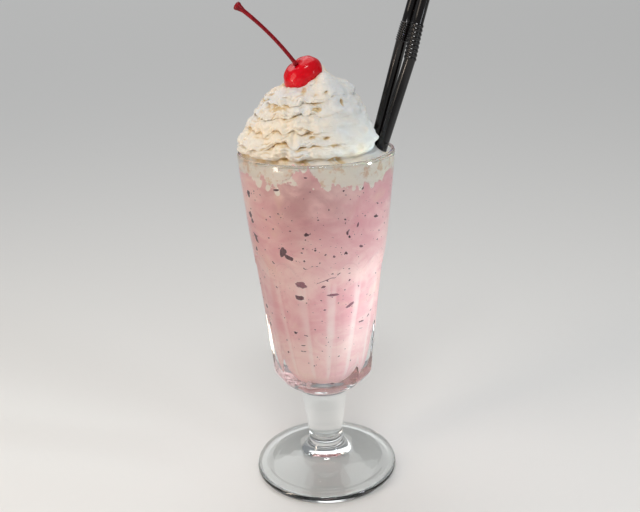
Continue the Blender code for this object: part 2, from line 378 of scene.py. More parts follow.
def skin(rows, looped=False):
    """Points and faces of a closed skin through rings, where one point is a pole."""
    rows = [np.atleast_2d(row) for row in rows]
    starts = np.concatenate([[0], np.cumsum([len(row) for row in rows])])
    faces = []
    pairs = list(zip(range(len(rows)), range(1, len(rows))))
    for low, high in pairs + ([(len(rows) - 1, 0)] if looped else []):
        sides = max(len(rows[low]), len(rows[high]))
        i = np.arange(sides)
        j = (i + 1) % sides
        if len(rows[low]) == 1:
            corners = (np.full(sides, starts[low]), starts[high] + j, starts[high] + i)
        elif len(rows[high]) == 1:
            corners = (starts[low] + i, starts[low] + j, np.full(sides, starts[high]))
        else:
            corners = (starts[low] + i, starts[low] + j, starts[high] + j, starts[high] + i)
        faces += np.column_stack(corners).tolist()
    return np.vstack(rows), faces


def make_piece(name, skins, finish, carried=None):
    """One mesh of all skins. carried holds numbers that its points take to the finish."""
    points, faces, start = [], [], 0
    for spots, corners in skins:
        points += spots.tolist()
        faces += [[start + corner for corner in face] for face in corners]
        start += len(spots)
    mesh = bpy.data.meshes.new(name)
    mesh.from_pydata(points, [], faces)
    for label, numbers in (carried or {}).items():
        mesh.attributes.new(label, "FLOAT", "POINT").data.foreach_set("value", np.hstack(numbers))
    mesh.shade_smooth()
    mesh.materials.append(finish.material)
    piece = bpy.data.objects.new(name, mesh)
    bpy.context.scene.collection.objects.link(piece)
    return piece


def ease(x, low, high):
    """0 below low and 1 above high, eased between."""
    t = np.clip((x - low) / (high - low), 0.0, 1.0)
    return t * t * (3 - 2 * t)


def cavity_radius(height):
    """The inner wall's radius at a height."""
    return np.interp(height, CAVITY_LINE[:, 0], CAVITY_LINE[:, 1])


def arch_height(across):
    """The height of a panel's arch, where across runs from -1 to 1 between its edges."""
    return PANEL_SPRING_Z + PANEL_ARCH * np.sqrt(1 - across**2 * ARCH_SHARE)


def panelled(radius, height):
    """The outer wall's radius at one height, with the flat panels pressed in."""
    pitch = math.tau / PANELS
    off = (around(GLASS_SIDES) - PANEL_TURN + pitch / 2) % pitch - pitch / 2
    flat = min(PANEL_FLAT + PANEL_LEAN * (height - PANEL_LEVEL_Z), radius - PANEL_SUNK) / np.cos(off)
    arch = arch_height(off / (pitch / 2))
    under_arch = 1 - ease(height, arch - ARCH_STEP[0], arch + ARCH_STEP[1])
    pressed = under_arch * ease(height, *PANEL_FOOT_Z)
    both = -PANEL_ROUNDING * np.logaddexp(-radius / PANEL_ROUNDING, -flat / PANEL_ROUNDING)
    return radius + (both - radius) * pressed


clear_glass = Finish(
    "clear pressed glass",
    {
        "Base Color": (0.965, 0.985, 0.98, 1.0),
        "Roughness": 0.0,
        "IOR": 1.5,
        "Transmission Weight": 1.0,
    },
)
tall_waves = clear_glass.noise(90.0, 1.0, place=clear_glass.stretched((1.0, 1.0, 0.35)))
clear_glass.relief(tall_waves * POLISH_WAVES)

CAVITY_LINE = flowing(CAVITY, CAVITY_STEP)
outside = flowing((*UNDERSIDE, *FOOT, *WALL), OUTSIDE_STEP)
half_lip = LIP_THICKNESS / 2
lip_turns = np.radians(np.linspace(0, 180, LIP_POINTS))
lip = [(RIM_RADIUS - half_lip + half_lip * math.cos(a), LIP_Z + half_lip * math.sin(a)) for a in lip_turns]
glass_rows = [pole(UNDERSIDE[0][1])]
for radius, height in outside[1:]:
    in_panels = PANEL_FOOT_Z[0] < height < PANEL_TOP_Z
    glass_rows.append(hoop(panelled(radius, height) if in_panels else radius, height, GLASS_SIDES))
glass_rows += [hoop(radius, height, GLASS_SIDES) for radius, height in lip]
glass_rows += [hoop(radius, height, GLASS_SIDES) for height, radius in CAVITY_LINE[-3:0:-2]]
glass_rows.append(pole(CAVITY[0][0]))
glass = make_piece("soda_glass", [skin(glass_rows)], clear_glass)
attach(glass, "root")
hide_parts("glass")


# Drink: milk and ice cream blended with strawberries to a thick dusty pink, with
# paler swirls where the ice cream isn't quite mixed in. It clings to the wall
# and ends in a ragged edge where the whipped cream was piped on it.

INTO_WALL = 0.00015
DRINK_SIDES = 360
DRINK_TOP_Z = 0.1790
# Below the first height the drink also reaches down into the glass, and from the
# second height up its rings follow the ragged edge.
FLOOR_END_Z = 0.065
EVEN_TO_Z = 0.172
RAGGED_RINGS = 20
# Its hidden top begins this far inside the wall and below the edge.
SHOULDER_IN = 0.002
SHOULDER_DOWN = 0.001
# A darker patch near the top: its middle, and how far it reaches.
DARK_PATCH_MIDDLE = (-0.008, -0.037, 0.178)
CLOUD_REACH = (0.006, 0.034)
# Painted light and shade on the milk behind the panels' edges, standing in for the light that the edges
# gather: where the painted light is strongest, how wide it is, and the painted shade of the darker line
# beside it, in degrees round. It ends under the arch, which has a painted dark line of its own.
GLOW_SIDE = 30
GLOW_EVEN = 0.62
GLOW_WIDTH = 5.5
GLOW_FOOT_Z = (0.064, 0.072)
GLOW_FADE = 0.012
LINE_TURN = 5.0
LINE_WIDTH = 1.6
LINE_SHADE = 0.7
ARCH_LINE = 0.0006
ARCH_SHADE = 0.6
# The ragged edge: its radius, its middle height, how ragged it is, the width of its
# fuzz, and how much narrower that is where it is crisp, between these degrees round.
EDGE_RADIUS = 0.039
EDGE_MIDDLE_Z = 0.186
EDGE_RAGS = 0.00035
EDGE_NICKS = 0.0002
EDGE_FUZZ = 0.0026
EDGE_CRISPER = 0.0014
CRISP_SIDE = (-5, 12, 60, 90)
# Degrees round from the front and the height of the edge there.
CREAM_EDGE = (
    (-180, 0.1862),
    (-140, 0.1845),
    (-100, 0.1868),
    (-70, 0.1876),
    (-60, 0.1880),
    (-53, 0.1870),
    (-44, 0.1878),
    (-37, 0.1843),
    (-30, 0.1838),
    (-24, 0.1873),
    (-20, 0.1890),
    (-15, 0.1925),
    (-5, 0.1930),
    (0, 0.1886),
    (3, 0.1839),
    (11, 0.1850),
    (19, 0.1829),
    (29, 0.1825),
    (37, 0.1837),
    (41, 0.1820),
    (49, 0.1830),
    (56, 0.1820),
    (61, 0.1862),
    (100, 0.1850),
    (140, 0.1840),
    (180, 0.1862),
)
# Lumps of cream that broke off and lie against the wall: degrees round, height, size.
CREAM_LUMPS = (
    (-15, 0.1852, 0.0030),
    (-3, 0.1828, 0.0013),
    (-30, 0.1800, 0.0020),
    (-47, 0.1835, 0.0024),
    (27, 0.1812, 0.0012),
    (44, 0.1806, 0.0016),
    (8, 0.1826, 0.0017),
    (33, 0.1808, 0.0014),
    (-39, 0.1818, 0.0015),
    (-120, 0.1810, 0.0025),
    (120, 0.1805, 0.0022),
    (165, 0.1820, 0.0028),
)
LUMP_STRENGTH = 3.6


def drift(points, size, seed, waves=18):
    """Smooth noise of about -1 to 1 over points in space, its lumps size across."""
    draw = np.random.RandomState(seed)
    ways = draw.normal(size=(waves, 3))
    ways *= (draw.uniform(0.6, 1.5, waves) / np.linalg.norm(ways, axis=1))[:, None]
    phase = draw.uniform(0, math.tau, waves)
    swings = np.sin(np.asarray(points) @ ways.T * (math.tau / size) + phase)
    return swings.sum(axis=1) / math.sqrt(waves)


def wrapped(degrees):
    """The same turn between -180 and 180."""
    return (degrees + 180) % 360 - 180


def span(x, start, full, last, end):
    """1 from full to last, and eased down to 0 at start and end."""
    return ease(x, start, full) * (1 - ease(x, last, end))


def view_angle(angle):
    """Degrees round the glass from its front, positive to the right."""
    return wrapped(np.degrees(angle) + 90)


def cream_edge(sides):
    """The height of the ragged line where cream meets drink, all round."""
    angle = around(sides)
    line = np.interp(view_angle(angle), *zip(*CREAM_EDGE))
    spots = hoop(EDGE_RADIUS, 0.0, sides)
    return line + EDGE_RAGS * drift(spots, 0.0032, 3) + EDGE_NICKS * drift(spots, 0.0014, 4)


def cream_share(ring, edge):
    """How far a point lies on the cream's side of the ragged edge, in widths of its fuzz."""
    side = view_angle(np.arctan2(ring[:, 1], ring[:, 0]))
    fuzz = EDGE_FUZZ - EDGE_CRISPER * span(side, *CRISP_SIDE)
    share = (ring[:, 2] - edge) / fuzz
    for turn, height, size in CREAM_LUMPS:
        across = np.radians(wrapped(side - turn)) * EDGE_RADIUS
        share += LUMP_STRENGTH * np.exp(-(across**2 + (ring[:, 2] - height) ** 2) / size**2)
    return np.clip(share, -4, 4)


def cream_or_milk(finish, milk, cream_colour):
    """Drink and cream on both sides of their ragged edge, with one pattern for both."""
    patches = (finish.noise(430.0, 3.0, 0.6) - 0.5) * 3.4 + (finish.noise(150.0, 1.0) - 0.5) * 2.6
    return finish.blend((finish.ridden("cream") + patches).step(-0.22, 0.26), milk, cream_colour)


def painted_arris_light(ring):
    """Painted light and shade for the milk's colour: above 0 in the pale bands painted where the panels'
    edges gather light, below 0 in the painted dark lines beside them and along the arches.
    """
    angle = np.arctan2(ring[:, 1], ring[:, 0])
    pitch = 360 / PANELS
    off = (np.degrees(angle - PANEL_TURN) + pitch / 2) % pitch
    past_edge = (off + pitch / 2) % pitch - pitch / 2
    glow = np.exp(-((past_edge / GLOW_WIDTH) ** 2))
    glow *= GLOW_EVEN + (1 - GLOW_EVEN) * np.cos(np.radians(view_angle(angle) - GLOW_SIDE))
    line = np.exp(-(((past_edge - LINE_TURN) / LINE_WIDTH) ** 2))
    arch = arch_height(2 * off / pitch - 1)
    on_arch = np.exp(-(((ring[:, 2] - arch) / ARCH_LINE) ** 2))
    in_panel = span(ring[:, 2], *GLOW_FOOT_Z, arch - GLOW_FADE, arch)
    return (glow - LINE_SHADE * line) * in_panel - ARCH_SHADE * on_arch


IN_GLASS_CREAM = paint(252, 242, 230)
shake = Finish("strawberry milkshake", {"Roughness": 0.45, "Specular IOR Level": 0.3})
slow = shake.noise(17.0, 2.0, 0.5, 0.8, shake.stretched((1.0, 1.0, 1.5)))
fast = shake.noise(60.0, 4.0, 0.6, 2.0, shake.stretched((1.0, 1.0, 1.5)))
veins = (slow * 0.7 + fast * 0.3).step(0.36, 0.64)
milky = shake.blend(veins, paint(236, 172, 178), paint(255, 220, 214))
away = shake.node("VectorMath", {"operation": "DISTANCE"}, {0: shake.place(), 1: DARK_PATCH_MIDDLE}, 1)
cloud = (1 - away.step(*CLOUD_REACH)) * shake.noise(70.0, 3.0, 0.6, 0.6).step(0.20, 0.65) * 0.8
milky = shake.blend(cloud, milky, paint(204, 146, 148))
peach = shake.noise(30.0, 3.0, 0.6, 1.0).step(0.56, 0.72) * 0.45
tinted = shake.blend(peach, milky, paint(244, 208, 188))
# Painted light and shade: the milk is painted paler in bands behind the panels' edges, stronger towards
# the lit side, and darker in lines beside them and along the arches.
painted_arris_share = shake.ridden("painted_arris_light")
uneven = shake.noise(70.0, 2.0, 0.5) * 1.3
with_painted_glow = shake.blend(painted_arris_share.step(0.0, 1.0) * uneven * 0.75, tinted, paint(255, 236, 230))
with_painted_lines = shake.blend((0 - painted_arris_share).step(0.0, 1.0) * 0.35, with_painted_glow, paint(190, 124, 132))
creamed = cream_or_milk(shake, with_painted_lines, IN_GLASS_CREAM)
seeds = shake.noise(1100.0, 2.0, 0.6).step(0.69, 0.76) * 0.4
shake.colour(shake.blend(seeds, creamed, paint(132, 78, 88)))

edge_line = cream_edge(DRINK_SIDES)
shake_rows = [pole(CAVITY[0][0] - INTO_WALL)]
for height, radius in CAVITY_LINE[1:]:
    into_floor = INTO_WALL if height < FLOOR_END_Z else 0.0
    if height < EVEN_TO_Z:
        shake_rows.append(hoop(radius + INTO_WALL, height - into_floor, DRINK_SIDES))
for share in np.linspace(1 / RAGGED_RINGS, 1.0, RAGGED_RINGS):
    line = EVEN_TO_Z + (edge_line - EVEN_TO_Z) * share
    shake_rows.append(hoop(cavity_radius(line) + INTO_WALL, line, DRINK_SIDES))
shake_rows.append(hoop(cavity_radius(edge_line) - SHOULDER_IN, edge_line - SHOULDER_DOWN, DRINK_SIDES))
shake_rows.append(pole(DRINK_TOP_Z))
shake_cream = [cream_share(row, edge_line if len(row) > 1 else EDGE_MIDDLE_Z) for row in shake_rows]
# The painted light and shade that each ring of the milk carries to its colour.
shake_painted_light = [painted_arris_light(row) for row in shake_rows]
drink_carries = {"cream": shake_cream, "painted_arris_light": shake_painted_light}
drink = make_piece("strawberry_shake", [skin(shake_rows)], shake, drink_carries)
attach(drink, "root")
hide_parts("milkshake")


# Berry flecks: bits of skin and seed that the blender left whole. They float in the
# drink, and those that show lie flat against the wall, some under a film of milk.

# Degrees round, height, length, width, tilt in degrees, and how much milk covers it.
FLECKS = (
    (-31, 0.1819, 0.0040, 0.0014, 5, 0.1),
    (-64, 0.1765, 0.0050, 0.0042, 80, 0.0),
    (-67, 0.1644, 0.0042, 0.0040, 70, 0.0),
    (-65, 0.1612, 0.0034, 0.0026, -60, 0.0),
    (-64, 0.1520, 0.0068, 0.0036, -65, 0.1),
    (-68, 0.1450, 0.0030, 0.0022, 60, 0.2),
    (-32, 0.1478, 0.0064, 0.0046, 80, 0.2),
    (-27, 0.1450, 0.0064, 0.0032, -20, 0.25),
    (-19, 0.1293, 0.0064, 0.0046, -10, 0.6),
    (-22, 0.1214, 0.0048, 0.0030, -5, 0.25),
    (-33, 0.0984, 0.0022, 0.0020, 0, 0.0),
    (-22, 0.0975, 0.0026, 0.0008, -20, 0.6),
    (-54, 0.0917, 0.0012, 0.0009, 0, 0.3),
    (-58, 0.0835, 0.0022, 0.0014, 30, 0.2),
    (3, 0.1282, 0.0030, 0.0015, 25, 0.4),
    (12, 0.1230, 0.0070, 0.0018, 0, 0.6),
    (32, 0.1148, 0.0068, 0.0024, 28, 0.6),
    (4, 0.1140, 0.0018, 0.0011, 20, 0.5),
    (19, 0.1811, 0.0012, 0.0011, 0, 0.0),
    (35, 0.1810, 0.0018, 0.0012, 40, 0.1),
    (52, 0.1705, 0.0020, 0.0009, -30, 0.2),
    (51, 0.1637, 0.0046, 0.0016, -12, 0.0),
    (32, 0.1616, 0.0034, 0.0014, 75, 0.3),
    (25, 0.1559, 0.0020, 0.0012, -60, 0.1),
    (23, 0.1580, 0.0026, 0.0013, -70, 0.3),
    (37, 0.1493, 0.0028, 0.0018, -25, 0.5),
    (23, 0.1470, 0.0024, 0.0013, -55, 0.1),
    (-10, 0.1587, 0.0030, 0.0020, 10, 0.0),
    (-15, 0.1485, 0.0012, 0.0008, 0, 0.2),
    (16, 0.1352, 0.0032, 0.0010, 25, 0.4),
    (28, 0.1344, 0.0016, 0.0006, 0, 0.5),
    (5, 0.1320, 0.0120, 0.0006, 22, 0.7),
    (64, 0.1037, 0.0030, 0.0014, 30, 0.4),
    (70, 0.1060, 0.0024, 0.0010, 20, 0.4),
    (61, 0.1162, 0.0020, 0.0008, 40, 0.5),
    (-8, 0.1889, 0.0016, 0.0009, 0, 0.5),
)
# On the back, at random: degrees round, height and length.
BACK_FLECKS = 34
BACK_SIDE = (85, 275)
BACK_Z = (0.088, 0.178)
BACK_LENGTH = (0.0012, 0.0050)
# Specks all round: the least length and what chance adds, the lowest height and the range.
SPECKS = 680
SPECK_LENGTH = 0.00042
SPECK_LONGER = 0.00120
SPECK_Z = 0.072
SPECK_HIGHER = 0.110
# A fleck longer than this has more points round its rim than a speck has.
FINE_LENGTH = 0.001
FLECK_POINTS = 14
SPECK_POINTS = 7
# From a fleck's middle over its rim to its back: the share of its width, and how far
# proud of the milk in units of FLECK_STANDS.
FLECK_PROFILE = ((0.0, 1.0), (0.6, 0.9), (1.0, -0.6), (0.5, -2.0), (0.0, -2.2))
FLECK_STANDS = 0.00012


def fleck(side, height, length, width, tilt, draw):
    """A flat lens against the wall with an uneven rim, its middle just proud of the milk."""
    is_speck = length <= FINE_LENGTH
    count = SPECK_POINTS if is_speck else FLECK_POINTS
    turn = math.tau * np.arange(count) / count
    uneven = 1 + (0.25 if is_speck else 0.16) * draw.normal(size=count)
    lean = math.radians(tilt)
    rows = []
    for spread, proud in FLECK_PROFILE:
        long_way = spread * length / 2 * np.cos(turn) * uneven
        wide_way = spread * width / 2 * np.sin(turn) * uneven
        across = long_way * math.cos(lean) - wide_way * math.sin(lean)
        level = height + (long_way * math.sin(lean) + wide_way * math.cos(lean))
        radius = cavity_radius(level) + INTO_WALL + FLECK_STANDS * proud
        angle = math.radians(side - 90) + across / radius
        ring = np.column_stack([radius * np.cos(angle), radius * np.sin(angle), level])
        rows.append(ring if spread else ring[:1])
    return skin(rows)


berry = Finish("berry flecks", {"Roughness": 0.5, "Specular IOR Level": 0.3})
grain = berry.noise(1500.0, 2.0, 0.6).step(0.3, 0.7)
bare = berry.blend(grain, paint(58, 26, 38), paint(96, 48, 62))
milk_film = (berry.ridden("film") + (berry.noise(900.0, 2.0) - 0.5) * 0.5).step(0.0, 1.0)
berry.colour(berry.blend(milk_film * 0.9, bare, paint(176, 118, 128)))

draw = np.random.RandomState(8)
bits = list(FLECKS)
for _ in range(BACK_FLECKS):
    side = draw.uniform(*BACK_SIDE)
    length = draw.uniform(*BACK_LENGTH)
    level = draw.uniform(*BACK_Z)
    width = length * draw.uniform(0.35, 0.8)
    bits.append((side, level, length, width, draw.uniform(-80, 80), draw.uniform(0, 0.7)))
for _ in range(SPECKS):
    length = SPECK_LENGTH + SPECK_LONGER * draw.uniform() ** 3
    level = SPECK_Z + SPECK_HIGHER * draw.uniform() ** 0.6
    side = draw.uniform(-180, 180)
    width = length * draw.uniform(0.5, 0.9)
    bits.append((side, level, length, width, draw.uniform(-80, 80), draw.uniform(0.0, 0.5)))
skins = [fleck(*bit[:5], draw) for bit in bits]
film = [np.full(len(part[0]), bit[5]) for part, bit in zip(skins, bits)]
flecks = make_piece("berry_flecks", skins, berry, {"film": film})
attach(flecks, "root")


# Whipped cream: one rope of sweetened cream piped round and round from a star
# tube, so that each turn droops a little over the one below and keeps the tube's
# fine grooves. The turns run smooth together on the side towards the straws.

CREAM_SIDES = 440
CREAM_RINGS = 200
CREAM_SEAT_Z = 0.1953
CREAM_TOP_Z = 0.2390
CREAM_PEAK = (0.0015, 0.0040, 0.2397)
# Degrees round between which the turns run smooth together.
CALM_SIDE = (-8, 24, 110, 150)
# One turn of the rope: its height, where the first one starts as a share of a turn,
# how deep the crease is, where its belly stands out, and how far it may sag.
COIL_PITCH = 0.0068
COIL_START = -0.377
COIL_DEPTH = 0.0027
COIL_BELLY = 0.32
COIL_SAG = 0.0016
# Heights and how strongly the turns show there, and how freely they sag.
COIL_FADE = ((0.1953, 0.45), (0.1972, 1.0), (0.2290, 1.0), (0.2370, 0.35))
SAG_FADE = ((0.1965, 0.2), (0.2010, 1), (0.2340, 1), (0.2390, 0))
RIBS = 4
RIB_DEPTH = 0.0009
BROAD_LUMPS = 0.00075
SMALL_LUMPS = 0.00048
FINE_LUMPS = 0.00022
# The shares that the smooth side loses of creases, ribs and lumps, and the share of
# the creases that comes back between these degrees round.
CALM_CREASE = 0.88
CALM_RIB = 0.93
CALM_LUMP = 0.7
CREASE_BACK = 0.40
CREASE_BACK_SIDE = (70, 92)
# Each point a height and a radius.
CREAM_OUTLINE = (
    (0.1953, 0.0356),
    (0.1980, 0.0372),
    (0.2020, 0.0374),
    (0.2080, 0.0341),
    (0.2130, 0.0311),
    (0.2180, 0.0280),
    (0.2230, 0.0248),
    (0.2265, 0.0210),
    (0.2295, 0.0174),
    (0.2315, 0.0112),
    (0.2340, 0.0072),
    (0.2370, 0.0052),
    (0.2385, 0.0030),
    (0.2390, 0.0022),
)
# Heights and how far the middle of the heap stands off the glass's axis there.
CREAM_LEAN_X = (
    (0.1950, -0.0044),
    (0.2150, -0.0026),
    (0.2230, -0.0022),
    (0.2295, 0.0008),
    (0.2370, 0.0010),
    (0.2397, 0.0015),
)
CREAM_LEAN_Y = ((0.223, 0.0), (0.231, 0.0030), (0.2397, 0.0040))
# The heap is narrower towards the straws: degrees round, how far to each side, how
# deep, and the share of it at each height.
NARROW_SIDE = 88
NARROW_REACH = 26
NARROW_DEPTH = 0.0014
NARROW_FADE = ((0.195, 0), (0.198, 1), (0.210, 1), (0.218, 0))
# The lip of cream that the cherry pushed up in front of it.
PUSHED_PLACE = (0.0050, -0.0105)
PUSHED_REACH = 0.0066
PUSHED_HEIGHT = 0.0052
PUSHED_Z = (0.222, 0.228)
# Where the cream leaves the wall of the glass, lower where the straws lean over it.
LEAVE_Z = 0.1932
LEAVE_DIP = 0.0030
LEAVE_REACH = 30
STRAW_SIDE = 102
# The hidden underside, the rings along the wall and how much painted crease shade
# they count, and the way over the lip to the heap's seat.
CREAM_FLOOR_Z = 0.1793
CREAM_SHOULDER_DOWN = 0.0008
WALL_RINGS = 20
WALL_CREASE_SHADE = 0.3
SEAT_RISE = 0.0002
SEAT_SAG = 0.0007
# Marks that the tube left on the smooth side: degrees round, height, half length,
# half width.
DENTS = (
    (19, 0.2261, 0.0016, 0.0009),
    (27, 0.2251, 0.0018, 0.0009),
    (7, 0.2198, 0.0022, 0.0010),
    (41, 0.2223, 0.0007, 0.0026),
    (0, 0.2116, 0.0020, 0.0008),
    (3, 0.2076, 0.0011, 0.0008),
    (14, 0.2070, 0.0018, 0.0009),
    (23, 0.2030, 0.0034, 0.0011),
    (-5, 0.2231, 0.0022, 0.0009),
    (-40, 0.2201, 0.0042, 0.0009),
    (-19, 0.1980, 0.0011, 0.0017),
    (-4, 0.1964, 0.0012, 0.0016),
    (22, 0.1964, 0.0040, 0.0016),
    (150, 0.2110, 0.0030, 0.0010),
    (175, 0.2190, 0.0024, 0.0009),
    (-150, 0.2050, 0.0030, 0.0010),
)
DENT_DEPTH = 0.0014


def droop(share):
    """How far a turn of the rope stands out, from the crease under it to the one over it."""
    under = np.sqrt(np.maximum(0.0, 1 - (1 - share / COIL_BELLY) ** 2))
    over = 1 - ((share - COIL_BELLY) / (1 - COIL_BELLY)) ** 2
    return np.where(share < COIL_BELLY, under, over)


def cream_ring(height):
    """One ring of the heap, and the painted shade of each of its points, more the deeper it lies in a
    crease, groove or dent.
    """
    angle = around(CREAM_SIDES)
    side = view_angle(angle)
    middle = (np.interp(height, *zip(*CREAM_LEAN_X)), np.interp(height, *zip(*CREAM_LEAN_Y)))
    radius = np.interp(height, *zip(*CREAM_OUTLINE))
    spots = hoop(radius, height, CREAM_SIDES, middle)
    calm = span(side, *CALM_SIDE)
    fade = np.interp(height, *zip(*COIL_FADE))
    wobble = 0.20 * drift(spots * (1, 1, 1.5), 0.026, 11) + 0.06 * drift(spots, 0.0085, 22)
    turns = (height - CREAM_SEAT_Z) / COIL_PITCH - angle / math.tau + COIL_START + wobble
    share = turns % 1.0
    belly = droop(share)
    creaseless = calm * (CALM_CREASE - CREASE_BACK * ease(side, *CREASE_BACK_SIDE))
    crease = COIL_DEPTH * (1 - belly) * (1 - creaseless)
    strength = np.clip(0.6 + 0.5 * drift(spots * (1, 1, 0.6), 0.011, 15), 0.1, 1.2)
    rib = 1 - np.abs(np.sin(math.pi * (share * RIBS + 0.45 * drift(spots, 0.010, 12)))) ** 0.7
    groove = RIB_DEPTH * rib * strength * (1 - CALM_RIB * calm)
    lumps = BROAD_LUMPS * drift(spots * (1, 1, 1.6), 0.010, 13)
    lumps += SMALL_LUMPS * drift(spots * (1, 1, 1.5), 0.0044, 14) * (1 - CALM_LUMP * calm)
    lumps += FINE_LUMPS * drift(spots, 0.0020, 17) * (1 - CALM_LUMP * calm)
    dent = np.zeros(CREAM_SIDES)
    for turn, level, half_length, half_width in DENTS:
        across = np.radians(wrapped(side - turn)) * radius / half_length
        up = (height - level) / (half_width * (0.5 if height > level else 1.0))
        dent = np.maximum(dent, np.exp(-(across**2) - up**2))
    dent *= np.clip(1 + 0.7 * drift(spots, 0.0026, 18), 0, 1.4)
    narrow = NARROW_DEPTH * np.exp(-(((side - NARROW_SIDE) / NARROW_REACH) ** 2))
    narrow *= np.interp(height, *zip(*NARROW_FADE))
    out = radius - narrow + (lumps - crease - groove) * fade - DENT_DEPTH * dent
    scallop = np.clip(1 + 1.0 * drift(spots * (1, 1, 0.4), 0.0065, 16), 0.1, 2.8)
    sag = COIL_SAG * belly * (1 - share) * scallop * (1 - calm) * fade
    sag *= np.interp(height, *zip(*SAG_FADE))
    ring = hoop(out, height - sag, CREAM_SIDES, middle)
    pushed = np.hypot(ring[:, 0] - PUSHED_PLACE[0], ring[:, 1] - PUSHED_PLACE[1]) / PUSHED_REACH
    ring[:, 2] += PUSHED_HEIGHT * np.exp(-(pushed**2)) * np.interp(height, PUSHED_Z, (0, 1))
    # Painted shade: the deeper a point lies in a crease, groove or dent, the more it is painted the darker
    # ochre.
    crease_shade = 0.75 * (1 - belly) ** 1.5 * (1 - calm) + 0.45 * rib * strength * (1 - calm) + 1.1 * dent
    crease_shade = np.clip(crease_shade * (1 + 0.5 * drift(spots, 0.008, 19)), 0, 1)
    return ring, crease_shade


cream = Finish(
    "whipped cream",
    {
        "Roughness": 0.5,
        "Specular IOR Level": 0.35,
        "Subsurface Weight": 0.2,
        "Subsurface Radius": (0.0016, 0.0011, 0.0007),
        "Subsurface Scale": 1.0,
    },
)
warm = cream.noise(45.0, 2.0).step(0.35, 0.7)
clean = cream.blend(warm, paint(221, 221, 219), paint(234, 222, 202))
ridges = cream.noise(170.0, 5.0, 0.62, 0.4, cream.stretched((1.0, 1.0, 4.5)))
# Painted shade: creases, grooves, dents and the long ridges of the bumps are painted a darker ochre,
# standing in for the shade and warm bounce light in them.
shade_amount = cream.ridden("crease_shade") + (cream.noise(320.0, 3.0) - 0.5) * 0.5 + (ridges - 0.5) * 0.7
folded = cream.blend(shade_amount.step(0.12, 0.80) * 0.8, clean, paint(208, 176, 118))
blotch = cream.noise(210.0, 3.0, 0.6).step(0.50, 0.66) * 0.75
pressed = cream.blend(blotch, IN_GLASS_CREAM, paint(228, 192, 158))
in_glass = cream.blend(cream.ridden("in_glass"), folded, pressed)
cream.colour(cream_or_milk(cream, paint(244, 196, 192), in_glass))
pits = cream.noise(1400.0, 3.0, 0.6).step(0.30, 0.55)
cream.relief(cream.noise(420.0, 3.0, 0.55) * 0.00022 + ridges * 0.00075 + pits * 0.00006)

edge_line = cream_edge(CREAM_SIDES)
side = view_angle(around(CREAM_SIDES))
leave = LEAVE_Z - LEAVE_DIP * np.exp(-((wrapped(side - STRAW_SIDE) / LEAVE_REACH) ** 2))
cream_rows = [pole(CREAM_FLOOR_Z)]
shoulder = cavity_radius(edge_line) - SHOULDER_IN
cream_rows.append(hoop(shoulder, edge_line - CREAM_SHOULDER_DOWN, CREAM_SIDES))
cream_crease_shade = [np.zeros(1), np.zeros(CREAM_SIDES)]
for share in np.linspace(0, 1, WALL_RINGS):
    line = edge_line + (leave - edge_line) * share
    cream_rows.append(hoop(cavity_radius(line) + INTO_WALL, line, CREAM_SIDES))
    cream_crease_shade.append(np.full(CREAM_SIDES, WALL_CREASE_SHADE))
walled = len(cream_rows)
wall_top = cream_rows[-1]
seat, seat_crease_shade = cream_ring(CREAM_SEAT_Z + SEAT_RISE)
for share in (0.25, 0.5, 0.75):
    ring = wall_top * (1 - share) + seat * share
    ring[:, 2] -= SEAT_SAG * math.sin(math.pi * share)
    cream_rows.append(ring)
    cream_crease_shade.append(WALL_CREASE_SHADE + share * (seat_crease_shade - WALL_CREASE_SHADE))
for height in np.linspace(CREAM_SEAT_Z + SEAT_RISE, CREAM_TOP_Z, CREAM_RINGS):
    ring, crease_shade = cream_ring(height)
    cream_rows.append(ring)
    cream_crease_shade.append(crease_shade)
cream_rows.append(np.array([CREAM_PEAK]))
cream_crease_shade.append(np.zeros(1))
cream_carries = {
    "crease_shade": cream_crease_shade,
    "cream": [cream_share(row, edge_line if len(row) > 1 else EDGE_MIDDLE_Z) for row in cream_rows],
    "in_glass": [np.full(len(row), float(i < walled)) for i, row in enumerate(cream_rows)],
}
heap = make_piece("piped_cream", [skin(cream_rows)], cream, cream_carries)
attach(heap, "root")
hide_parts("whipped_cream")


# Cherry: a preserved cherry, dyed red and still wet with syrup. Two plump cheeks
# stand either side of a shallow seam that runs down from the stalk's dimple.

CHERRY_CENTRE = Vector((-0.0053, -0.0050, 0.2346))
CHERRY_STALK_WAY = Vector((-0.48, -0.37, 0.79)).normalized()
CHERRY_CHEEK_WAY = Vector((0.80, 0.07, 0.60))
CHERRY_RADIUS = 0.0094
CHERRY_STRETCH = (1.13, 0.98, 0.85)
CHERRY_SIDES = 96
CHERRY_RINGS = 60
# The seam's depth as a share of the radius, the dimple's depth, and how wide each is.
SEAM_DEPTH = 0.08
SEAM_WIDTH = 0.30
DIMPLE_DEPTH = 0.0020
DIMPLE_WIDTH = 0.42
CHERRY_UNEVEN = 0.00012


def cherry_rings():
    """Rings of the fruit from its dimple down, each turned to the way of the stalk."""
    z = CHERRY_STALK_WAY
    y = z.cross(CHERRY_CHEEK_WAY).normalized()
    turn = np.array(Matrix((y.cross(z), y, z)).transposed())
    rows = []
    for down in np.linspace(0, math.pi, CHERRY_RINGS):
        across = around(CHERRY_SIDES) if 0 < down < math.pi else np.zeros(1)
        seam = np.exp(-((np.cos(across) / SEAM_WIDTH) ** 2)) * math.sin(down)
        radius = CHERRY_RADIUS * (1 - SEAM_DEPTH * seam)
        dimple = DIMPLE_DEPTH * math.exp(-((down / DIMPLE_WIDTH) ** 2))
        out = math.sin(down)
        along = np.full(across.shape, math.cos(down))
        way = np.column_stack([out * np.cos(across), out * np.sin(across), along])
        local = way * radius[:, None] * CHERRY_STRETCH - np.array([0.0, 0.0, dimple])
        local += way * CHERRY_UNEVEN * drift(way * 0.01, 0.005, 21)[:, None]
        rows.append(local @ turn.T + np.array(CHERRY_CENTRE))
    return rows


